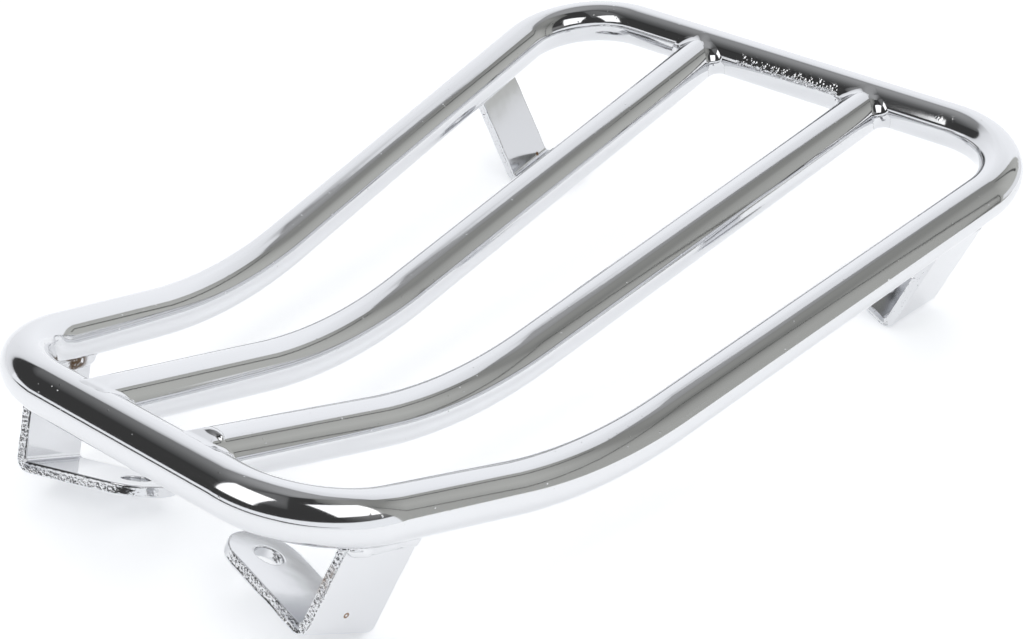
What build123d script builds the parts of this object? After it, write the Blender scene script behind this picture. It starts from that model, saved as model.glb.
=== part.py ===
from build123d import *
from math import cos, degrees, radians, sin, sqrt
import os

# Motorcycle luggage rack: a tapered loop of bent tube with two inner bars, on four bent strip brackets.
# X is across the rack, +Y runs from the narrow front to the wide rear, Z is up, and the ground is Z = 0.

# Tube
tube_diameter = 16.0
tube_wall = 1.5

# Plan of the loop, measured between tube axes before the corners are rounded
front_half_width = 65.5
rear_half_width = 107.0
corner_radius = 32.0

# Side view of the loop: a front part and a rear part that both rise from one bend
front_length = 106.5
rear_length = 223.0
front_pitch = 16.0
rear_pitch = 8.0
bend_radius = 165.0
bend_height = 20.6

# Inner bars: distance of their axes from the middle plane at each crossbar, and how far they sit
# above the front crossbar's axis and below the rear one's
bar_front_offset = 20.0
bar_rear_offset = 37.5
bar_front_lift = 1.5
bar_rear_drop = 1.5

# Brackets: strip bent to a right angle, leg under the rail and foot pointing inwards
strip_thickness = 3.5
strip_bend_radius = 1.5
bolt_hole_diameter = 9.0

front_strip_width = 25.0
front_foot_length = 45.0
front_bracket_distance = 30.5
front_bracket_dip = 11.0
front_leg_tilt = 10.0

rear_strip_width = 24.0
rear_foot_length = 24.0
rear_bracket_distance = 55.0
rear_bracket_dip = 3.5
rear_leg_tilt = 24.0
rear_seat_angle = 67.0

# Welds
root_gap = 0.2
butt_gap = 1.0
bar_weld_leg = 3.0
bar_weld_cap = 0.4
bar_weld_set_back = 2.0
bracket_weld_radius = 2.4
bracket_weld_set_back = 1.0

# Derived sizes
tube_radius = tube_diameter / 2
bore_radius = tube_radius - tube_wall
strip_outer_radius = strip_bend_radius + strip_thickness
rear_seat_offset = (tube_radius - strip_thickness / 2) * sin(radians(rear_seat_angle))

front_reach = front_length * cos(radians(front_pitch))
rear_reach = rear_length * cos(radians(rear_pitch))
bend_y = (front_reach - rear_reach) / 2
front_share = front_length / (front_length + rear_length)

front_up = Vector(0, sin(radians(front_pitch)), cos(radians(front_pitch)))
rear_up = Vector(0, -sin(radians(rear_pitch)), cos(radians(rear_pitch)))


def at_front(x):
    return Vector(x, bend_y - front_reach, bend_height + front_length * sin(radians(front_pitch)))


def at_bend(front_x, rear_x):
    return Vector(front_x + (rear_x - front_x) * front_share, bend_y, bend_height)


def at_rear(x):
    return Vector(x, bend_y + rear_reach, bend_height + rear_length * sin(radians(rear_pitch)))


def rack_line(front_x, rear_x):
    """Front end, bend and rear end of a rail or bar that runs from front_x to rear_x."""
    return [at_front(front_x), at_bend(front_x, rear_x), at_rear(rear_x)]


right_rail = rack_line(front_half_width, rear_half_width)
left_rail = rack_line(-front_half_width, -rear_half_width)
loop_points = [at_rear(butt_gap / 2), *reversed(right_rail), *left_rail, at_rear(-butt_gap / 2)]
loop_radii = [corner_radius, bend_radius, corner_radius, corner_radius, bend_radius, corner_radius]


def bent_round(points, radii, outer, inner=0.0):
    """Round bar, or tube where inner is above zero, as straight runs joined by bends."""
    with BuildLine() as path:
        FilletPolyline(*points, radius=radii)
    with BuildPart() as bent:
        for run in path.edges():
            start, heading = run @ 0, run % 0
            with BuildSketch(Plane(origin=start, z_dir=heading)):
                Circle(outer)
                if inner > 0:
                    Circle(inner, mode=Mode.SUBTRACT)
            if run.geom_type == GeomType.LINE:
                extrude(amount=run.length)
            else:
                turn_axis = Axis(run.arc_center, (start - run.arc_center).cross(heading))
                revolve(axis=turn_axis, revolution_arc=degrees(run.length / run.radius))
    return bent.part


def save(part, name):
    part.label = name
    export_step(part, f"parts/{name}.step")


os.makedirs("parts", exist_ok=True)

# Solid rods of the loop, used to cope what meets it
loop_rod = bent_round(loop_points, loop_radii, tube_radius)
cope_rod = bent_round(loop_points, loop_radii, tube_radius + root_gap)

# Outer loop, one tube whose ends meet at the middle of the rear crossbar
with BuildPart() as outer_loop:
    add(bent_round(loop_points, loop_radii, tube_radius, bore_radius))
save(outer_loop.part, "outer_loop")

# Weld that closes the loop
with BuildPart() as loop_butt_weld:
    with BuildSketch(Plane(origin=at_rear(0), x_dir=(0, 1, 0), z_dir=(1, 0, 0))):
        Circle(tube_radius)
        Circle(bore_radius, mode=Mode.SUBTRACT)
    extrude(amount=butt_gap / 2, both=True)
save(loop_butt_weld.part, "loop_butt_weld")


def bar_weld(joint, up, toward_bar, height):
    """Fillet of weld in the corners between a coped bar and its crossbar, thin over the top and below."""
    across = toward_bar.cross(up)
    reach = tube_diameter + bar_weld_leg
    full_height = height + 2 * bar_weld_cap
    with BuildPart() as weld:
        for side, how in ((1, Mode.ADD), (-1, Mode.INTERSECT)):
            slant = toward_bar + across * side
            with BuildSketch(Plane(origin=joint, x_dir=slant, z_dir=toward_bar - across * side)):
                SlotOverall(sqrt(2) * reach, full_height)
            extrude(amount=2 * reach, both=True, mode=how)
        with BuildSketch(Plane(origin=joint, x_dir=across, z_dir=up)):
            with Locations((0, bar_weld_set_back + reach / 2)):
                Rectangle(2 * reach, reach)
        extrude(amount=full_height, both=True, mode=Mode.INTERSECT)
        add(loop_rod, mode=Mode.SUBTRACT)
        add(bar_rod, mode=Mode.SUBTRACT)
    return weld.part


# What comes in pairs is made on the right-hand side and mirrored at the end
right_pieces = {}

# Inner bar and the welds at its ends
bar_front_end, bar_bend, bar_rear_end = rack_line(bar_front_offset, bar_rear_offset)
bar_points = [bar_front_end + front_up * bar_front_lift, bar_bend, bar_rear_end - rear_up * bar_rear_drop]
bar_rod = bent_round(bar_points, bend_radius, tube_radius)
with BuildPart() as inner_bar:
    add(bent_round(bar_points, bend_radius, tube_radius, bore_radius))
    add(cope_rod, mode=Mode.SUBTRACT)
right_pieces["inner_bar_{side}"] = inner_bar.part

right_pieces["front_bar_weld_{side}"] = bar_weld(
    bar_front_end + front_up * bar_front_lift / 2,
    front_up,
    (bar_bend - bar_front_end).normalized(),
    tube_diameter + bar_front_lift,
)
right_pieces["rear_bar_weld_{side}"] = bar_weld(
    bar_rear_end - rear_up * bar_rear_drop / 2,
    rear_up,
    (bar_bend - bar_rear_end).normalized(),
    tube_diameter + bar_rear_drop,
)


def bracket_plane(axis_point, along, up, dip, tilt):
    """Plane across a right-hand strip, from the rail's axis: x points out of the leg and y up the leg."""
    outward = along.cross(up)
    strip_line = along * cos(radians(dip)) - up * sin(radians(dip))
    strip_up = up * cos(radians(dip)) + along * sin(radians(dip))
    leg_normal = outward * cos(radians(tilt)) - strip_up * sin(radians(tilt))
    return Plane(origin=axis_point, x_dir=leg_normal, z_dir=-strip_line)


def bend_centre_y(plane, bend_x, width):
    """Height in the plane at which the rounded bend of the strip just touches the ground."""
    end_drop = abs(plane.z_dir.Z) * width / 2
    round_drop = strip_outer_radius * sqrt(1 - plane.z_dir.Z**2)
    return -(plane.origin.Z + bend_x * plane.x_dir.Z - end_drop - round_drop) / plane.y_dir.Z


def make_bracket(plane, along, width, foot_length, seat_offset):
    """Right-hand bracket, its outer bead and its inner bead, under a rail that runs along the given way."""
    outer_x = seat_offset + strip_thickness / 2
    inner_x = seat_offset - strip_thickness / 2
    bend_y_local = bend_centre_y(plane, outer_x - strip_outer_radius, width)
    foot_bottom = bend_y_local - strip_outer_radius
    foot_top = bend_y_local - strip_bend_radius
    tip_x = inner_x - foot_length
    hole_x = tip_x + width / 2

    with BuildPart() as bracket:
        with BuildSketch(plane):
            with BuildLine():
                outer_corners = [(outer_x, 0), (outer_x, foot_bottom), (tip_x, foot_bottom)]
                inner_corners = [(tip_x, foot_top), (inner_x, foot_top), (inner_x, 0)]
                FilletPolyline(*outer_corners, radius=strip_outer_radius)
                Line(outer_corners[-1], inner_corners[0])
                FilletPolyline(*inner_corners, radius=strip_bend_radius)
                Line(inner_corners[-1], outer_corners[0])
            make_face()
        extrude(amount=width / 2, both=True)
        foot_plane = Plane(
            origin=plane.from_local_coords((hole_x, foot_bottom, 0)), x_dir=plane.x_dir, z_dir=plane.y_dir
        )
        straight_reach = outer_x - hole_x
        with BuildSketch(foot_plane):
            Circle(width / 2)
            with Locations((straight_reach / 2, 0)):
                Rectangle(straight_reach, width)
        extrude(amount=-foot_bottom, mode=Mode.INTERSECT)
        with BuildSketch(foot_plane):
            Circle(bolt_hole_diameter / 2)
        extrude(amount=strip_thickness, mode=Mode.SUBTRACT)
        add(cope_rod, mode=Mode.SUBTRACT)

    beads = []
    bead_line = (along - plane.z_dir).normalized()
    for side, face_x in ((1, outer_x), (-1, inner_x)):
        crevice_y = -sqrt(tube_radius**2 - face_x**2)
        crevice = plane.from_local_coords((face_x, crevice_y, 0))
        with BuildPart() as bead:
            with BuildSketch(Plane(origin=crevice, z_dir=bead_line)):
                Circle(bracket_weld_radius)
            extrude(amount=width / 2 - bracket_weld_set_back, both=True)
            with BuildSketch(plane):
                with Locations((face_x + side * bracket_weld_radius, crevice_y)):
                    Rectangle(2 * bracket_weld_radius, width)
            extrude(amount=width, both=True, mode=Mode.INTERSECT)
            add(loop_rod, mode=Mode.SUBTRACT)
        beads.append(bead.part)
    return [bracket.part, *beads]


# Front and rear bracket with their beads
front_corner, rail_bend, rear_corner = right_rail
front_along = (rail_bend - front_corner).normalized()
rear_along = (rear_corner - rail_bend).normalized()
front_seat = front_corner + front_along * front_bracket_distance
rear_seat = rear_corner - rear_along * rear_bracket_distance
front_plane = bracket_plane(front_seat, front_along, front_up, front_bracket_dip, front_leg_tilt)
rear_plane = bracket_plane(rear_seat, rear_along, rear_up, rear_bracket_dip, rear_leg_tilt)
bracket_sets = {
    "front": make_bracket(front_plane, front_along, front_strip_width, front_foot_length, 0.0),
    "rear": make_bracket(rear_plane, rear_along, rear_strip_width, rear_foot_length, rear_seat_offset),
}
for end_name, pieces in bracket_sets.items():
    for piece, kind in zip(pieces, ("bracket", "bracket_weld_outer", "bracket_weld_inner")):
        right_pieces[end_name + "_{side}_" + kind] = piece

for name, piece in right_pieces.items():
    save(piece, name.format(side="right"))
    with BuildPart() as mirrored:
        mirror(piece, about=Plane.YZ)
    save(mirrored.part, name.format(side="left"))
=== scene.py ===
"""Chrome motorcycle luggage rack on a white table, seen by the photograph's camera."""

import math

import bpy
import numpy as np
from mathutils import Matrix


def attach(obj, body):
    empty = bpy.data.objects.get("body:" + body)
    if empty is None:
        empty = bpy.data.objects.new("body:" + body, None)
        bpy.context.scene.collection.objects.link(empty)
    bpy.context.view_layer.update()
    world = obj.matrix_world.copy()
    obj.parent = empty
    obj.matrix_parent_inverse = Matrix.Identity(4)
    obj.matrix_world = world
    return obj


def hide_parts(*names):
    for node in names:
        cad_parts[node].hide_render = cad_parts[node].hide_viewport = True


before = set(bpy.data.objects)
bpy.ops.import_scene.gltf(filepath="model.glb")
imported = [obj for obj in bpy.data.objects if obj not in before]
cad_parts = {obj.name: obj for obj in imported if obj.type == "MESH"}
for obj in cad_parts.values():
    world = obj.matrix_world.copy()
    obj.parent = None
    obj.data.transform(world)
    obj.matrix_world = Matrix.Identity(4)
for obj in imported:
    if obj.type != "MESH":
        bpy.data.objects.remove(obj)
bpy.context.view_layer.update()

# Lengths here are in millimetres, as in the part, and MM turns them into Blender's metres.
MM = 0.001

# Tube and plan of the rack
tube_radius = 8.0
front_half_width = 65.5
rear_half_width = 107.0
corner_radius = 32.0
front_length = 106.5
rear_length = 223.0
front_pitch = math.radians(16.0)
rear_pitch = math.radians(8.0)
bend_radius = 165.0
bend_height = 20.6
bar_front_offset = 20.0
bar_rear_offset = 37.5
bar_front_lift = 1.5
bar_rear_drop = 1.5

# Strip brackets: width, foot, place along the rail from its corner, dip, tilt and the angle at which the leg
# meets the rail, in degrees
strip_thickness = 3.5
strip_bend_radius = 1.5
bolt_hole_radius = 4.5
strip_edge_round = 0.4
front_strip = {"width": 25.0, "foot": 45.0, "distance": 30.5, "dip": 11.0, "tilt": 10.0, "seat_angle": 0.0}
rear_strip = {"width": 24.0, "foot": 24.0, "distance": 55.0, "dip": 3.5, "tilt": 24.0, "seat_angle": 67.0}

# Fineness of the meshes
tube_sides = 128
arc_step = math.radians(1.0)
strip_cell = 0.28
weld_cell = 0.35
settling_steps = 4
least_steepness = 0.05

UP = np.array([0.0, 0.0, 1.0])


def unit(v):
    return v / np.linalg.norm(v, axis=-1, keepdims=True)


def vec(*xyz):
    return np.array(xyz, dtype=float)


MIRROR = vec(-1, 1, 1)


# Places of the rack


front_reach = front_length * math.cos(front_pitch)
rear_reach = rear_length * math.cos(rear_pitch)
bend_y = (front_reach - rear_reach) / 2
front_share = front_length / (front_length + rear_length)
front_up = vec(0, math.sin(front_pitch), math.cos(front_pitch))
rear_up = vec(0, -math.sin(rear_pitch), math.cos(rear_pitch))


def rack_line(front_x, rear_x):
    """Front end, bend and rear end of a rail or bar."""
    return [
        vec(front_x, bend_y - front_reach, bend_height + front_length * math.sin(front_pitch)),
        vec(front_x + (rear_x - front_x) * front_share, bend_y, bend_height),
        vec(rear_x, bend_y + rear_reach, bend_height + rear_length * math.sin(rear_pitch)),
    ]


def rounded_path(points, radii):
    """Points and headings of a line through the points, with an arc at each corner that has a radius."""
    places, headings = [], []
    count = len(points)
    for i, (corner, radius) in enumerate(zip(points, radii)):
        before = unit(corner - points[i - 1])
        after = unit(points[(i + 1) % count] - corner)
        if radius == 0:
            places.append(corner)
            headings.append(after if i == 0 else before)
            continue
        turn = math.acos(before @ after)
        start = corner - before * radius * math.tan(turn / 2)
        inward = unit(after - before * math.cos(turn))
        for angle in np.linspace(0, turn, math.ceil(turn / arc_step) + 1):
            places.append(start + radius * (before * math.sin(angle) + inward * (1 - math.cos(angle))))
            headings.append(before * math.cos(angle) + inward * math.sin(angle))
    return np.array(places), np.array(headings)


right_rail = rack_line(front_half_width, rear_half_width)
left_rail = rack_line(-front_half_width, -rear_half_width)
right_bar = rack_line(bar_front_offset, bar_rear_offset)
right_bar[0] = right_bar[0] + front_up * bar_front_lift
right_bar[2] = right_bar[2] - rear_up * bar_rear_drop
left_bar = [point * MIRROR for point in right_bar]

loop_path = rounded_path(
    [*reversed(right_rail), *left_rail],
    [corner_radius, bend_radius, corner_radius] * 2,
)
# The bars are drawn from a little behind the front crossbar, where their welded ends take over, and tuck in
# under them
bar_start = 15.0
tuck = 0.7


def bar_path(bar):
    front_end, bend, rear_end = bar
    heading = unit(bend - front_end)
    start = front_end + heading * bar_start
    return rounded_path([start - heading * tuck, start, bend, rear_end], [0, 0, bend_radius, 0])


# Meshes


def add_mesh(name, places, faces, material, replaced=(), normals=None, marks=None):
    """A smooth piece of the rack, from places in millimetres, with a number for each mark at each place."""
    mesh = bpy.data.meshes.new(name)
    mesh.from_pydata((np.asarray(places) * MM).tolist(), [], np.asarray(faces).tolist())
    mesh.polygons.foreach_set("use_smooth", [True] * len(mesh.polygons))
    mesh.materials.append(material)
    for mark, values in (marks or {}).items():
        mesh.attributes.new(mark, "FLOAT", "POINT").data.foreach_set("value", values)
    if normals is not None:
        mesh.normals_split_custom_set_from_vertices(normals.tolist())
    piece = bpy.data.objects.new(name, mesh)
    bpy.context.scene.collection.objects.link(piece)
    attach(piece, "root")
    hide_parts(*replaced)


def swept_round(path, closed):
    """Places, faces and normals of a round bar along a path.

    An open bar's first ring is tucked in under its weld."""
    centres, headings = path
    side = unit(UP - headings * (headings @ UP)[:, None])
    other = np.cross(headings, side)
    angles = np.linspace(0, 2 * math.pi, tube_sides, endpoint=False)
    outward = np.cos(angles)[:, None] * side[:, None] + np.sin(angles)[:, None] * other[:, None]
    radii = np.full((len(centres), 1, 1), tube_radius)
    if not closed:
        radii[0] -= tuck / 2
    rings = centres[:, None] + radii * outward
    ring_count = len(centres)
    here = np.arange(ring_count if closed else ring_count - 1)[:, None]
    there = (here + 1) % ring_count
    turn = np.arange(tube_sides)[None]
    next_turn = (turn + 1) % tube_sides
    corners = [here * tube_sides + turn, there * tube_sides + turn]
    corners += [there * tube_sides + next_turn, here * tube_sides + next_turn]
    faces = np.stack(corners[::-1], axis=-1).reshape(-1, 4)
    return rings.reshape(-1, 3), faces, outward.reshape(-1, 3)


def slopes(field, places, reach=0.02):
    """Gradient of a field at places."""
    steps = np.eye(3) * reach
    return np.stack([field(places + s) - field(places - s) for s in steps], axis=-1) / (2 * reach)


def surface(field, low, high, cell):
    """Places and faces of the zero level of a field between two corners.

    There is one place in each cell that the level crosses, and a face round each edge that it crosses."""
    axes = [np.arange(a, b + cell, cell) for a, b in zip(low, high)]
    grid = np.stack(np.meshgrid(*axes, indexing="ij"), axis=-1)
    inside = (field(grid.reshape(-1, 3)) < 0).reshape(grid.shape[:3])
    filled = sum(
        inside[i : i - 1 or None, j : j - 1 or None, k : k - 1 or None].astype(int)
        for i in (0, 1)
        for j in (0, 1)
        for k in (0, 1)
    )
    crossed = (filled > 0) & (filled < 8)
    number = np.full(crossed.shape, -1)
    number[crossed] = np.arange(crossed.sum())
    places = np.array(low) + cell * (np.argwhere(crossed) + 0.5)
    for _ in range(settling_steps):
        slope = slopes(field, places)
        steep = np.maximum((slope**2).sum(axis=1), least_steepness)
        places = places - slope * np.clip(field(places) / steep, -cell, cell)[:, None]
    faces = []
    for axis in range(3):
        b, d = np.eye(3, dtype=int)[[(axis + 1) % 3, (axis + 2) % 3]]
        ahead = np.roll(inside, -1, axis=axis)
        for leaving in (True, False):
            found = np.argwhere((inside == leaving) & (ahead != leaving))
            kept = (found >= b + d).all(axis=1) & (found < np.array(crossed.shape)).all(axis=1)
            found = found[kept]
            quad = [found - b - d, found - d, found, found - b]
            quad = [number[tuple(q.T)] for q in quad]
            faces.append(np.stack(quad if leaving else quad[::-1], axis=-1))
    return places, np.concatenate(faces)


def waves(places, length, seed, count=24):
    """Random waves of about a given length, between about -2 and 2."""
    chance = np.random.default_rng(seed)
    ways = unit(chance.normal(size=(count, 3))) * chance.uniform(0.7, 1.4, size=(count, 1))
    starts = chance.uniform(0, 2 * math.pi, size=count)
    return np.sin(places @ ways.T * (2 * math.pi / length) + starts).sum(axis=1) / math.sqrt(count / 2)


# Materials


class Plating:
    """Chrome plate whose nodes are joined step by step. Places in its nodes are in the rack's own frame."""

    def __init__(self, name, tint, roughness):
        self.material = bpy.data.materials.new(name)
        self.material.use_nodes = True
        self.tree = self.material.node_tree
        self.shader = self.tree.nodes["Principled BSDF"]
        self.shader.inputs["Base Color"].default_value = (*tint, 1)
        self.shader.inputs["Metallic"].default_value = 1.0
        self.shader.inputs["Roughness"].default_value = roughness
        self.place = self.node("ShaderNodeTexCoord").outputs["Object"]
        self.normal = None

    def node(self, kind, **settings):
        made = self.tree.nodes.new(kind)
        for name, value in settings.items():
            setattr(made, name, value)
        return made

    def feed(self, socket, value):
        """Joins a socket to another one, or sets it."""
        if isinstance(value, bpy.types.NodeSocket):
            self.tree.links.new(value, socket)
        else:
            socket.default_value = value

    def math(self, operation, *values):
        made = self.node("ShaderNodeMath", operation=operation)
        for socket, value in zip(made.inputs, values):
            self.feed(socket, value)
        return made.outputs[0]

    def noise(self, size, detail=2.0):
        """Noise between 0 and 1 with features of a size in millimetres."""
        made = self.node("ShaderNodeTexNoise")
        self.feed(made.inputs["Vector"], self.place)
        made.inputs["Scale"].default_value = 1 / (size * MM)
        made.inputs["Detail"].default_value = detail
        return made.outputs["Fac"]

    def ramp(self, value, low, high):
        """0 where the value is at low, 1 at high, smooth between."""
        made = self.node("ShaderNodeMapRange", interpolation_type="SMOOTHSTEP")
        self.feed(made.inputs["Value"], value)
        made.inputs["From Min"].default_value = low
        made.inputs["From Max"].default_value = high
        return made.outputs["Result"]

    def near(self, place, radius, edge=0.5):
        """1 within a radius of a place in millimetres, 0 outside it. The edge is a part of the radius."""
        made = self.node("ShaderNodeVectorMath", operation="DISTANCE")
        self.feed(made.inputs[0], self.place)
        made.inputs[1].default_value = tuple(np.array(place) * MM)
        return self.ramp(made.outputs["Value"], radius * MM, radius * (1 - edge) * MM)

    def any_of(self, masks):
        total = masks[0]
        for mask in masks[1:]:
            total = self.math("MAXIMUM", total, mask)
        return total

    def raise_by(self, height, depth):
        """Lifts the plate by a height between 0 and 1, times a depth in millimetres."""
        made = self.node("ShaderNodeBump")
        made.inputs["Distance"].default_value = depth * MM
        self.feed(made.inputs["Height"], height)
        if self.normal is not None:
            self.feed(made.inputs["Normal"], self.normal)
        self.normal = made.outputs["Normal"]
        self.feed(self.shader.inputs["Normal"], self.normal)

    def specks(self, spacing, size, mask):
        """Small round pips at random, where the mask is high."""
        made = self.node("ShaderNodeTexVoronoi")
        self.feed(made.inputs["Vector"], self.place)
        made.inputs["Scale"].default_value = 1 / (spacing * MM)
        return self.math("MULTIPLY", self.ramp(made.outputs["Distance"], size / spacing, 0), mask)

    def tint_by(self, mask, tint):
        """Another colour where the mask is high."""
        colour = self.shader.inputs["Base Color"]
        mixed = self.node("ShaderNodeMix", data_type="RGBA")
        self.feed(mixed.inputs["Factor"], mask)
        clean = colour.links[0].from_socket if colour.is_linked else tuple(colour.default_value)
        self.feed(mixed.inputs["A"], clean)
        mixed.inputs["B"].default_value = (*tint, 1)
        self.feed(colour, mixed.outputs["Result"])

    def roughen(self, mask, more):
        """Duller where the mask is high."""
        rough = self.shader.inputs["Roughness"]
        clean = rough.links[0].from_socket if rough.is_linked else rough.default_value
        self.feed(rough, self.math("MULTIPLY_ADD", mask, more, clean))

    def stain(self, mask, tint, more):
        """Dull brown rust over the plate where the mask is high."""
        self.tint_by(mask, tint)
        self.roughen(mask, more)
        self.feed(self.shader.inputs["Metallic"], self.math("MULTIPLY_ADD", mask, -rust_cover, 1.0))


# Colours of the plate, of fresh and old rust and of the painted dark reflection in the folds, and how much
# metal rust hides
chrome_tint = (0.73, 0.735, 0.75)
rust_tint = (0.23, 0.12, 0.05)
old_rust_tint = (0.1, 0.055, 0.022)
fold_reflection_tint = (0.42, 0.43, 0.455)
rust_cover = 0.8
rust_roughness = 0.5

# Rough plating on the rear crossbar
rough_patch = [(x, 154.6, 54.8) for x in range(-17, 25, 5)]
small_patch = [(68.0, 155.5, 56.6), (73.0, 155.6, 57.0)]

# Tube: slow waves, scattered pips and the rough patches
tube_plating = Plating("plated_tube", chrome_tint, 0.085)
tube_plating.raise_by(tube_plating.noise(14.0), 0.03)
pip_places = tube_plating.ramp(tube_plating.noise(9.0), 0.5, 0.65)
tube_plating.raise_by(tube_plating.specks(3.0, 0.4, pip_places), 0.1)
tube_rough = tube_plating.any_of(
    [tube_plating.near(place, 3.2, 0.6) for place in rough_patch]
    + [tube_plating.near(place, 1.8, 0.8) for place in small_patch]
)
tube_patches = tube_plating.ramp(tube_plating.noise(2.5), 0.3, 0.6)
tube_grain = tube_plating.specks(1.1, 0.85, tube_plating.math("MULTIPLY", tube_rough, tube_patches))
tube_plating.raise_by(tube_grain, 0.14)
tube_chrome = tube_plating.material

# Welds: slow and short waves, and rust under the left front rail
weld_plating = Plating("plated_weld", chrome_tint, 0.035)
weld_plating.raise_by(weld_plating.noise(14.0), 0.03)
weld_plating.raise_by(weld_plating.noise(2.5), 0.012)
weld_rust = weld_plating.math(
    "MULTIPLY",
    weld_plating.near((-63.3, -132.4, 34.8), 5.0),
    weld_plating.ramp(weld_plating.noise(1.6), 0.35, 0.5),
)
weld_plating.stain(weld_rust, old_rust_tint, rust_roughness)
weld_chrome = weld_plating.material

# Strips: slow waves, coarse cut edges, a painted dark reflection in the fold and rust
strip_plating = Plating("plated_strip", chrome_tint, 0.1)
cut_edge = strip_plating.node("ShaderNodeAttribute", attribute_name="cut").outputs["Fac"]
painted_fold_reflection = strip_plating.node("ShaderNodeAttribute", attribute_name="fold_reflection").outputs["Fac"]
strip_plating.raise_by(strip_plating.noise(16.0), 0.06)
strip_plating.raise_by(strip_plating.math("MULTIPLY", strip_plating.noise(0.95, 1.0), cut_edge), 0.42)
ring_place = (64.6, -147.4, 13.4)
rust_ring = strip_plating.math(
    "SUBTRACT", strip_plating.near(ring_place, 1.1, 0.4), strip_plating.near(ring_place, 0.5, 0.5)
)
rust_edge = strip_plating.math("MULTIPLY", strip_plating.near((64.5, -153.5, 27.5), 6.0), cut_edge)
rust_edge = strip_plating.math("MULTIPLY", rust_edge, strip_plating.ramp(strip_plating.noise(2.0), 0.3, 0.9))
rust_under_rail = strip_plating.math(
    "MULTIPLY",
    strip_plating.near((-63.5, -131.5, 33.5), 5.0),
    strip_plating.ramp(strip_plating.noise(1.6), 0.35, 0.5),
)
rust_dot = strip_plating.near((-87.5, 117.9, 5.8), 1.0)
# Painted dark reflection: the plate is darker near the fold on the inside of the foot
strip_plating.tint_by(painted_fold_reflection, fold_reflection_tint)
rust = strip_plating.any_of([rust_ring, rust_edge, rust_under_rail, rust_dot])
strip_plating.stain(rust, rust_tint, rust_roughness)
strip_plating.tint_by(rust_under_rail, old_rust_tint)
strip_chrome = strip_plating.material

# Tubes
places, faces, normals = swept_round(loop_path, True)
add_mesh("loop_tube", places, faces, tube_chrome, ["outer_loop", "loop_butt_weld"], normals)
for side, bar in (("right", right_bar), ("left", left_bar)):
    places, faces, normals = swept_round(bar_path(bar), False)
    add_mesh(f"bar_{side}", places, faces, tube_chrome, [f"inner_bar_{side}"], normals)


# Welds of the bars


def line_offset(places, point, heading):
    """Shortest vectors from a straight line to places."""
    away = places - point
    return away - (away @ heading)[:, None] * heading


def fillet_union(a, b, radius):
    """Field of two joined forms with a round fillet of that radius in the corner between them."""
    rest = np.maximum(radius, np.minimum(a, b))
    return rest - np.hypot(np.maximum(radius - a, 0), np.maximum(radius - b, 0))


def rounded_meet(a, b, radius):
    """Field of what two forms share, with the edge between them rounded."""
    rest = np.minimum(np.maximum(a, b), -radius)
    return rest + np.hypot(np.maximum(a + radius, 0), np.maximum(b + radius, 0))


def joint_fields(joint, bar_end, heading, up, drawn_from, ends_at, radius, lumps, ground, seed, ridge=None):
    """Field of a crossbar and the bar that ends on it, as drawn and with weld in the corners between them.

    The welded bar is ground down towards its end: ground gives the height at the crossbar's axis, the slope
    and the rounding of the ground face's edge. A ridge is a small peak of weld left on it."""
    ground_height, ground_slope, ground_round = ground

    def parts(places):
        cross_away = line_offset(places, joint, vec(1, 0, 0))
        bar_away = line_offset(places, bar_end, heading)
        cross = np.linalg.norm(cross_away, axis=1) - tube_radius
        bar = np.linalg.norm(bar_away, axis=1) - tube_radius
        alike = (unit(cross_away) * unit(bar_away)).sum(axis=1)
        return cross, bar, (places - bar_end) @ heading, alike

    def bare(places):
        cross, bar, along, _ = parts(places)
        return np.minimum(cross, np.maximum(bar, drawn_from - along))

    def welded(places):
        cross, bar, along, alike = parts(places)
        fillet = radius * np.clip(1 - alike, least_fillet, 1) * (1 + lumps * waves(places, lump_length, seed))
        face = (places - joint) @ up - ground_height - ground_slope * along
        end = rounded_meet(rounded_meet(bar, face, ground_round), ends_at - along, bar_end_round)
        field = fillet_union(cross, end, fillet)
        if ridge is not None:
            peak = np.linalg.norm((places - bar_end - ridge["place"]) / ridge["size"], axis=1) - 1
            field = fillet_union(field, peak * ridge["size"].min(), ridge_fillet)
        return field

    return bare, welded


# Reach of the box round each weld, least height of its faces over the bare metal, least share of the fillet
# along the tubes, length of its lumps, and rounding of a bar's end and of a ridge's foot
weld_reach = 18.0
weld_skin = 0.02
least_fillet = 0.3
lump_length = 6.0
bar_end_round = 1.5
ridge_fillet = 0.6


def proud_faces(bare, places, faces):
    """The faces of a weld that stand out of the bare metal."""
    return faces[bare(places[faces].mean(axis=1)) > weld_skin]


bar_joints = {
    "front": {"up": front_up, "drawn_from": bar_start, "ends_at": -1.0, "radius": 3.0, "lumps": 0.08},
    "rear": {"up": rear_up, "drawn_from": 0.0, "ends_at": 0.0, "radius": 5.0, "lumps": 0.02},
}
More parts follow.
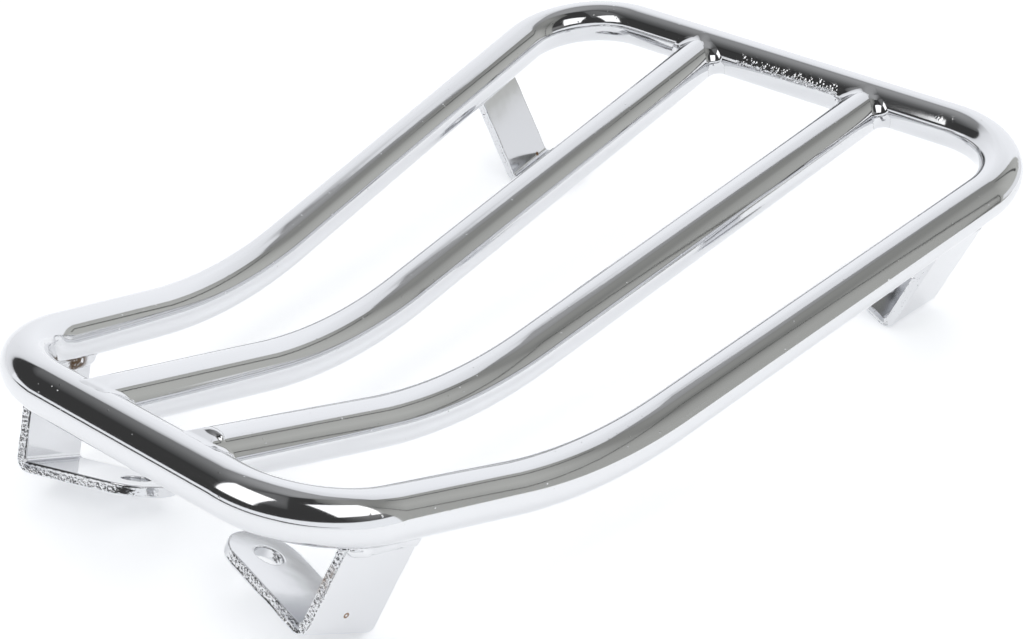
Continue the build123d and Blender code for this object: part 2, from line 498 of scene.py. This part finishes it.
# Height, slope and edge rounding of each ground face. The rear ones lie above the bar and cut nothing
ground_faces = {
    ("front", "right"): (6.7, 0.38, 0.25),
    ("front", "left"): (8.2, 0.16, 0.5),
    ("rear", "right"): (20.0, 0.0, 0.5),
    ("rear", "left"): (20.0, 0.0, 0.5),
}
right_heading = unit(right_bar[1] - right_bar[0])
weld_ridge = {
    "place": right_heading * 7.6 + front_up * 7.2 + vec(1.0, 0, 0),
    "size": vec(3.4, 1.4, 1.3),
}
for end, shape in bar_joints.items():
    for seed, (side, bar) in enumerate((("right", right_bar), ("left", left_bar))):
        bar_end = bar[0] if end == "front" else bar[2]
        crossbar = rack_line(0, 0)[0 if end == "front" else 2]
        joint = crossbar * vec(0, 1, 1) + bar_end * vec(1, 0, 0)
        heading = unit(bar[1] - bar_end)
        ridge = weld_ridge if (end, side) == ("front", "right") else None
        ground = ground_faces[end, side]
        bare, welded = joint_fields(joint, bar_end, heading, ground=ground, seed=seed, ridge=ridge, **shape)
        middle = joint + heading * tube_radius
        places, faces = surface(welded, middle - weld_reach, middle + weld_reach, weld_cell)
        add_mesh(
            f"bar_fillet_{end}_{side}",
            places,
            proud_faces(bare, places, faces),
            weld_chrome,
            [f"{end}_bar_weld_{side}"],
            unit(slopes(welded, places)),
        )


# Brackets


def path_distance(places, path):
    """Distance from places to a line through the path's points."""
    nearest = np.full(len(places), np.inf)
    for a, b in zip(path[:-1], path[1:]):
        step = b - a
        share = np.clip((places - a) @ step / (step @ step), 0, 1)
        nearest = np.minimum(nearest, np.linalg.norm(places - a - share[:, None] * step, axis=1))
    return nearest


class Strip:
    """A right-hand strip bent to a right angle.

    Its own axes point out of the leg, up the leg and across the strip."""

    def __init__(self, sizes, corner, along, up):
        dip, tilt = math.radians(sizes["dip"]), math.radians(sizes["tilt"])
        outward = np.cross(along, up)
        strip_line = along * math.cos(dip) - up * math.sin(dip)
        strip_up = up * math.cos(dip) + along * math.sin(dip)
        leg_out = outward * math.cos(tilt) - strip_up * math.sin(tilt)
        self.axes = np.array([leg_out, np.cross(-strip_line, leg_out), -strip_line])
        self.origin = corner + along * sizes["distance"]
        self.width = sizes["width"]
        half = strip_thickness / 2
        self.seat = (tube_radius - half) * math.sin(math.radians(sizes["seat_angle"]))
        self.face_places = (self.seat + half, self.seat - half)
        outer_radius = strip_bend_radius + strip_thickness
        self.middle_radius = strip_bend_radius + half
        self.bend_x = self.seat + half - outer_radius
        slope = self.axes[2, 2]
        low_point = abs(slope) * self.width / 2 + outer_radius * math.sqrt(1 - slope**2)
        self.bend_y = -(self.origin[2] + self.bend_x * self.axes[0, 2] - low_point) / self.axes[1, 2]
        tip_x = self.seat - half - sizes["foot"]
        far_face = min(abs(self.seat) + half, tube_radius - seat_margin)
        self.top_y = -math.sqrt(tube_radius**2 - far_face**2) + leg_overlap
        self.leg = self.top_y - self.bend_y
        self.turn = self.middle_radius * math.pi / 2
        self.hole = self.leg + self.turn + self.bend_x - tip_x - self.width / 2

    def outline(self, places):
        """Distance outside the flat strip's outline, hole left out, and distance from the hole's axis."""
        length, across, _ = places.T
        straight = np.maximum(np.abs(across) - self.width / 2, np.maximum(-length, length - self.hole))
        from_hole = np.hypot(length - self.hole, across)
        return np.minimum(straight, from_hole - self.width / 2), from_hole

    def cut(self, places, rough_side):
        """How rough a cut edge each place of the flat strip is. The round end and one rim are smoother."""
        edge, from_hole = self.outline(places)
        rough = np.clip(1 + edge / cut_depth, 0, 1)
        rough = rough * np.clip((self.hole + tip_start - places[:, 0]) / tip_fade, tip_cut, 1)
        rough = rough * np.clip((rough_side * places[:, 2] + rim_start) / rim_fade, rim_cut, 1)
        return np.maximum(rough, hole_cut * (from_hole < bolt_hole_radius + hole_margin))

    def fold_reflection(self, places):
        """How near each place of the flat strip is to the bend, on the inside of the foot, where a dark
        reflection is painted into the plate's colour.
        """
        beyond = places[:, 0] - self.leg - self.turn
        return np.clip(1 - np.abs(beyond) / fold_reflection_reach, 0, 1) * (beyond > fold_reflection_start) * (places[:, 2] < 0)

    def field(self, rough_side, seed):
        """Field of the flat strip, by length from the leg's top, width, and thickness to the outside."""

        def flat(places):
            through = places[:, 2]
            grain = waves(places, edge_grain, seed, edge_waves)
            rough = edge_roughness * grain * self.cut(places, rough_side)
            outline, from_hole = self.outline(places)
            outline = outline + rough + edge_wander * waves(places, wander_length, seed + 1, edge_waves)
            edge = np.maximum(outline, bolt_hole_radius - from_hole) + strip_edge_round
            face = np.abs(through) - strip_thickness / 2 + strip_edge_round
            outside = np.hypot(np.maximum(edge, 0), np.maximum(face, 0))
            return np.minimum(np.maximum(edge, face), 0) + outside - strip_edge_round

        return flat

    def bent(self, places):
        """Places on the rack of places in the flat strip."""
        length, across, through = places.T
        turned = np.clip((length - self.leg) / self.middle_radius, 0, math.pi / 2)
        beyond = np.maximum(length - self.leg - self.turn, 0)
        x = self.bend_x + (self.middle_radius + through) * np.cos(turned) - beyond
        y = self.bend_y - (self.middle_radius + through) * np.sin(turned) + np.maximum(self.leg - length, 0)
        return self.origin + np.stack([x, y, across], axis=-1) @ self.axes

    def weld_fields(self, rail, along, radius, lumps, smoothed, seed):
        """Field of the leg's top under the rail, bare and with a bead on each side, in the strip's own axes.

        Smoothed welds are hollow fillets instead of round beads."""
        local_rail = (rail - self.origin) @ self.axes.T
        near = np.linalg.norm(local_rail, axis=1) < rail_reach
        bead_line = self.axes @ along
        crevices = [(x, -math.sqrt(tube_radius**2 - x**2), 0) for x in self.face_places]

        def parts(places):
            out, up, across = places.T
            tube = path_distance(places, local_rail[near]) - tube_radius
            sides = np.stack([np.abs(out - self.seat) - strip_thickness / 2, np.abs(across) - self.width / 2])
            leg = np.linalg.norm(np.maximum(sides, 0), axis=0) + np.minimum(sides.max(axis=0), 0)
            return tube, np.maximum(leg, up - self.top_y)

        def bare(places):
            return np.minimum(*parts(places))

        def welded(places):
            to_end = self.width / 2 + bead_overrun - np.abs(places[:, 2])
            ends = np.sqrt(np.clip(to_end / bead_taper, 0.01, 1))
            size = radius * ends * (1 + lumps * waves(places, bead_lump_length, seed, edge_waves))
            if smoothed:
                return fillet_union(*parts(places), size)
            away = [np.linalg.norm(line_offset(places, vec(*c), bead_line), axis=1) for c in crevices]
            return fillet_union(bare(places), np.minimum(*away) - size, bead_toe * ends)

        return bare, welded


# Cut edges: height and length of the roughness and of the slower wander, and number of waves in each
edge_roughness = 0.06
edge_grain = 1.2
edge_wander = 0.05
wander_length = 9.0
edge_waves = 12

# Where the cut is rough: depth from the edge, and place, fade and share left at the round end, on the
# smoother rim and in the hole
cut_depth = 0.5
tip_start = 5.0
tip_fade = 4.0
tip_cut = 0.1
rim_start = 1.1
rim_fade = 0.5
rim_cut = 0.15
hole_margin = 0.1
hole_cut = 0.12

# Painted dark reflection in the fold: how far it reaches along the foot, and where it starts
fold_reflection_reach = 13.0
fold_reflection_start = -2.0

# Top of the leg, and beads that join it to the rail
seat_margin = 0.2
leg_overlap = 1.0
rail_reach = 90.0
bead_overrun = 0.5
bead_taper = 3.0
bead_lump_length = 5.0
bead_toe = 0.7
bead_low = vec(-9, -10, -4)
bead_high = vec(9, 6, 4)
bracket_welds = {
    "front": {"radius": 2.8, "lumps": 0.06, "smoothed": False},
    "rear": {"radius": 3.5, "lumps": 0.05, "smoothed": True},
}

front_along = unit(right_rail[1] - right_rail[0])
rear_along = unit(right_rail[2] - right_rail[1])
strips = {
    "front": Strip(front_strip, right_rail[0], front_along, front_up),
    "rear": Strip({**rear_strip, "distance": -rear_strip["distance"]}, right_rail[2], rear_along, rear_up),
}
surface_margin = 1.0
for number, (end, strip) in enumerate(strips.items()):
    for seed, side in enumerate(("right", "left"), start=10 * number):
        flip = MIRROR if side == "left" else vec(1, 1, 1)
        turn = -1 if side == "left" else 1
        half_length = strip.hole / 2 + strip.width / 4
        half_size = vec(half_length, strip.width / 2, strip_thickness / 2)
        middle = vec(half_length, 0, 0)
        rough_side = 1 if side == "left" else -1
        field = strip.field(rough_side, seed)
        low = middle - half_size - surface_margin
        high = middle + half_size + surface_margin
        places, faces = surface(field, low, high, strip_cell)
        # The fold mark says where a dark reflection is painted into the strip's colour
        add_mesh(
            f"strip_{end}_{side}",
            strip.bent(places) * flip,
            faces[:, ::turn],
            strip_chrome,
            [f"{end}_{side}_bracket"],
            marks={"cut": strip.cut(places, rough_side), "fold_reflection": strip.fold_reflection(places)},
        )
        along = front_along if end == "front" else rear_along
        bare, welded = strip.weld_fields(loop_path[0], along, seed=seed, **bracket_welds[end])
        low = vec(strip.seat, strip.top_y, -strip.width / 2) + bead_low
        high = vec(strip.seat, strip.top_y, strip.width / 2) + bead_high
        places, faces = surface(welded, low, high, weld_cell)
        faces = proud_faces(bare, places, faces)
        normals = unit(slopes(welded, places)) @ strip.axes * flip
        add_mesh(
            f"strip_weld_{end}_{side}",
            (strip.origin + places @ strip.axes) * flip,
            faces[:, ::turn],
            weld_chrome,
            [f"{end}_{side}_bracket_weld_outer", f"{end}_{side}_bracket_weld_inner"],
            normals,
        )

# Studio: what lights the rack and what its chrome mirrors
glow = bpy.data.materials.new("studio_glow")
glow.use_nodes = True
glow.node_tree.nodes.clear()
glow_light = glow.node_tree.nodes.new("ShaderNodeAttribute")
glow_light.attribute_name = "light"
glow_shader = glow.node_tree.nodes.new("ShaderNodeEmission")
glow_output = glow.node_tree.nodes.new("ShaderNodeOutputMaterial")
glow.node_tree.links.new(glow_light.outputs["Color"], glow_shader.inputs["Color"])
glow.node_tree.links.new(glow_shader.outputs[0], glow_output.inputs["Surface"])


def add_stage(name, places, faces, material):
    mesh = bpy.data.meshes.new(name)
    mesh.from_pydata((np.asarray(places) * MM).tolist(), [], np.asarray(faces).tolist())
    mesh.materials.append(material)
    thing = bpy.data.objects.new(name, mesh)
    bpy.context.scene.collection.objects.link(thing)
    return thing


def panel(name, point, across, high, level, tint, columns=60, rows=30):
    """Glowing sheet that the camera doesn't see.

    Point and level give the place and the light at each part of it."""
    a, h = np.meshgrid(np.linspace(*across, columns + 1), np.linspace(*high, rows + 1), indexing="ij")
    first = (np.arange(columns)[:, None] * (rows + 1) + np.arange(rows)).reshape(-1)
    faces = np.stack([first, first + rows + 1, first + rows + 2, first + 1], axis=-1)
    thing = add_stage(name, point(a, h).reshape(-1, 3), faces, glow)
    light = np.ones((a.size, 4))
    light[:, :3] = (level(a, h) * np.ones_like(a)).reshape(-1, 1) * np.array(tint)
    thing.data.attributes.new("light", "FLOAT_COLOR", "POINT").data.foreach_set("color", light.reshape(-1))
    thing.visible_camera = False
    thing.visible_shadow = False


def curve(value, points):
    """Height at a value on a line through points, each given as a value and its height."""
    return np.interp(value, list(points), list(points.values()))


def around(radius, low, top):
    """Places on a ball round the rack.

    They go by azimuth from +Y towards +X in degrees, and by the share of the way up from low to top."""

    def point(az, share):
        el = np.radians(low + share * (top(az) - low))
        az = np.radians(az)
        return radius * np.stack([np.sin(az) * np.cos(el), np.cos(az) * np.cos(el), np.sin(el)], axis=-1)

    return point


# White table with its right-hand edge
table_right = 275.0
table_reach = 1500.0
table_material = bpy.data.materials.new("table")
table_material.use_nodes = True
table_shader = table_material.node_tree.nodes["Principled BSDF"]
table_shader.inputs["Base Color"].default_value = (0.8, 0.805, 0.815, 1)
table_shader.inputs["Roughness"].default_value = 0.9
table_shader.inputs["Emission Color"].default_value = (0.965, 0.985, 1.01, 1)
table_shader.inputs["Emission Strength"].default_value = 0.4
table_x = (-table_reach, table_right, table_right, -table_reach)
table_y = (-table_reach, -table_reach, table_reach, table_reach)
add_stage("table", [(x, y, 0) for x, y in zip(table_x, table_y)], [(0, 1, 2, 3)], table_material)

# What stands round the table, on balls of these radii, from under the table's height
wall_radius = 1900.0
wall_low = -20.0
ceiling_radius = 2000.0
ceiling_low = 40.0
ceiling_top = 89.0

# Where the grey room meets the white sweep, and the sweep meets the white backdrop
room_right = 68.5
sweep_end = 246.0

# White backdrop behind the rack, with a slanted left end and a top edge that is softer on its left
backdrop_edge = {246: 11.5, 257: 13.5, 263: 15.5, 268: 19.5, 278: 36, 285: 47.5}
backdrop_edge |= {300: 51, 313: 51, 320: 54, 341: 58, 362: 52, 368: 50}


def backdrop_top(az):
    return curve(az, backdrop_edge)


def backdrop_level(az, share):
    along = curve(az, {262: 0.95, 285: 0.98, 300: 1.05, 318: 1.13, 368: 1.1})
    soft = curve(share, {0: 1.0, 0.69: 1.0, 0.9: 0.88, 1: 0.5})
    sharp = curve(share, {0: 1.0, 0.69: 1.0, 0.84: 0.9, 1: 0.83})
    return along * (soft + (sharp - soft) * curve(az, {322: 0, 330: 1}))


panel(
    "backdrop", around(wall_radius, wall_low, backdrop_top), (sweep_end, 368), (0, 1), backdrop_level,
    (0.985, 1.0, 1.03), columns=122,
)


# Dim ceiling, darkest over the front
def ceiling_level(az, share):
    el = ceiling_low + share * (ceiling_top - ceiling_low)
    tone = {150: 0.15, 205: 0.19, 222: 0.09, 243: 0.17, 270: 0.28, 300: 0.37, 345: 0.41, 372: 0.34}
    return curve(az, tone) * curve(el, {40: 0.3, 44: 0.55, 48: 0.7, 60: 1, 80: 1, 89: 0.6})


panel(
    "ceiling", around(ceiling_radius, ceiling_low, lambda az: ceiling_top), (150, 372), (0, 1), ceiling_level,
    (0.99, 1.0, 1.01),
)

# Grey room on the right, with two dark poles and a white card
room_top = 78.0


def room_level(az, share):
    el = share * (room_top - wall_low) + wall_low
    tone = curve(el, {20: 0.47, 30: 0.43, 40: 0.35, 45: 0.27, 50: 0.24, 57: 0.26, 65: 0.28, 78: 0.15})
    return tone * curve(az, {8: 1.1, 20: 1.2, 40: 1.2, 50: 1.0})


panel(
    "grey_room", around(wall_radius, wall_low, lambda az: room_top), (8, room_right), (0, 1), room_level,
    (0.99, 1.0, 0.955),
)


def pole(name, low, top, width, level):
    """Dark strip between two places that faces the rack."""
    sideways = unit(vec(low[1], -low[0], 0))

    def point(a, h):
        return vec(*low) + h[..., None] * np.subtract(top, low) + a[..., None] * sideways

    panel(name, point, (-width / 2, width / 2), (0, 1), lambda a, h: level, (1, 1, 1), columns=1, rows=1)


far_side = around(1850.0, -10.0, lambda az: 62.0)
pole_lean = {0: -3.5, 0.28: -1.8, 0.45: 0}
panel(
    "far_pole", lambda az, share: far_side(az + curve(share, pole_lean), share), (53.0, 54.1), (0, 1),
    lambda az, share: 0.02, (1, 1, 1), columns=1, rows=60,
)
pole("upright_pole", (360, 930, 250), (360, 930, 1050), 45, 0.08)
card_corner = vec(110, 430, 0)
card_way = vec(300, -30, 0)
card_height = 80.0
panel(
    "card", lambda a, h: a[..., None] * card_way + card_corner + h[..., None] * UP, (0, 1), (0, card_height),
    lambda a, h: 0.95, (0.985, 1.0, 1.03), columns=1, rows=1,
)
# White sweep along the right and the front, with a dark gap under it and light spilt over its right end
sweep_edge = {120: 14, 165: 12, 220: 8, 240: 9.5, 246: 11.5}
gap_edge = {120: -0.5, 160: 3.0, 225: 4.0, 244: -0.9}
panel(
    "sweep", around(wall_radius, wall_low, lambda az: curve(az, sweep_edge)), (room_right, sweep_end), (0, 1),
    lambda az, share: 1.1, (0.97, 0.99, 1.02),
)
panel(
    "gap", around(860.0, -1.0, lambda az: curve(az, gap_edge)), (120, 244), (0, 1),
    lambda az, share: 0.04, (1, 1, 1),
)


def spill_level(az, share):
    return curve(share, {0: 0.1, 0.3: 0.2, 0.8: 0.25, 1: 0.08}) * curve(az, {62: 1, 85: 0.9, 107: 0.3})


panel("spill", around(1800.0, 14.0, lambda az: 33.0), (room_right, 107), (0, 1), spill_level, (1, 1, 1))


def softbox(name, place, target, width, height, radiance, mirrored=True):
    """Soft lamp that points at a target. The chrome shows it only if it is mirrored."""
    light = bpy.data.lights.new(name, "AREA")
    light.shape = "RECTANGLE"
    light.size = width * MM
    light.size_y = height * MM
    light.energy = radiance * math.pi * light.size * light.size_y
    lamp = bpy.data.objects.new(name, light)
    back = unit(np.subtract(place, target))
    right = unit(np.cross(UP, back))
    turn = np.eye(4)
    turn[:3, :3] = np.stack([right, np.cross(back, right), back], axis=1)
    turn[:3, 3] = np.array(place) * MM
    lamp.matrix_world = Matrix(turn.tolist())
    lamp.visible_camera = False
    lamp.visible_glossy = mirrored
    bpy.context.scene.collection.objects.link(lamp)


rack_middle = (0, 0, 40)
softbox("softbox_right", (345, -72, 405), rack_middle, width=310, height=330, radiance=1.5)
softbox("softbox_left", (-95, -478, 463), rack_middle, width=345, height=430, radiance=1.5)
softbox("overhead", (0, 1, 1600), (0, 0, 0), width=3000, height=3000, radiance=1.0, mirrored=False)

# The rest of the room is dark
world = bpy.data.worlds.new("room")
world.use_nodes = True
world.node_tree.nodes["Background"].inputs["Color"].default_value = (0.05, 0.05, 0.05, 1)
bpy.context.scene.world = world

# Camera of the photograph
camera_place = (369.411, -442.229, 358.897)
camera_right = (0.76344, 0.64584, 0.00758)
camera_up = (-0.33582, 0.38689, 0.8588)
camera_back = (0.55171, -0.65819, 0.51225)
camera_lens = 69.907
camera_data = bpy.data.cameras.new("photo_camera")
camera_data.sensor_width = 36.0
camera_data.lens = camera_lens
camera_data.clip_start = 0.01
camera = bpy.data.objects.new("photo_camera", camera_data)
stand = np.eye(4)
stand[:3, :3] = np.stack([camera_right, camera_up, camera_back], axis=1)
stand[:3, 3] = np.array(camera_place) * MM
camera.matrix_world = Matrix(stand.tolist())
bpy.context.scene.collection.objects.link(camera)
bpy.context.scene.camera = camera
bpy.context.scene.view_settings.view_transform = "Standard"
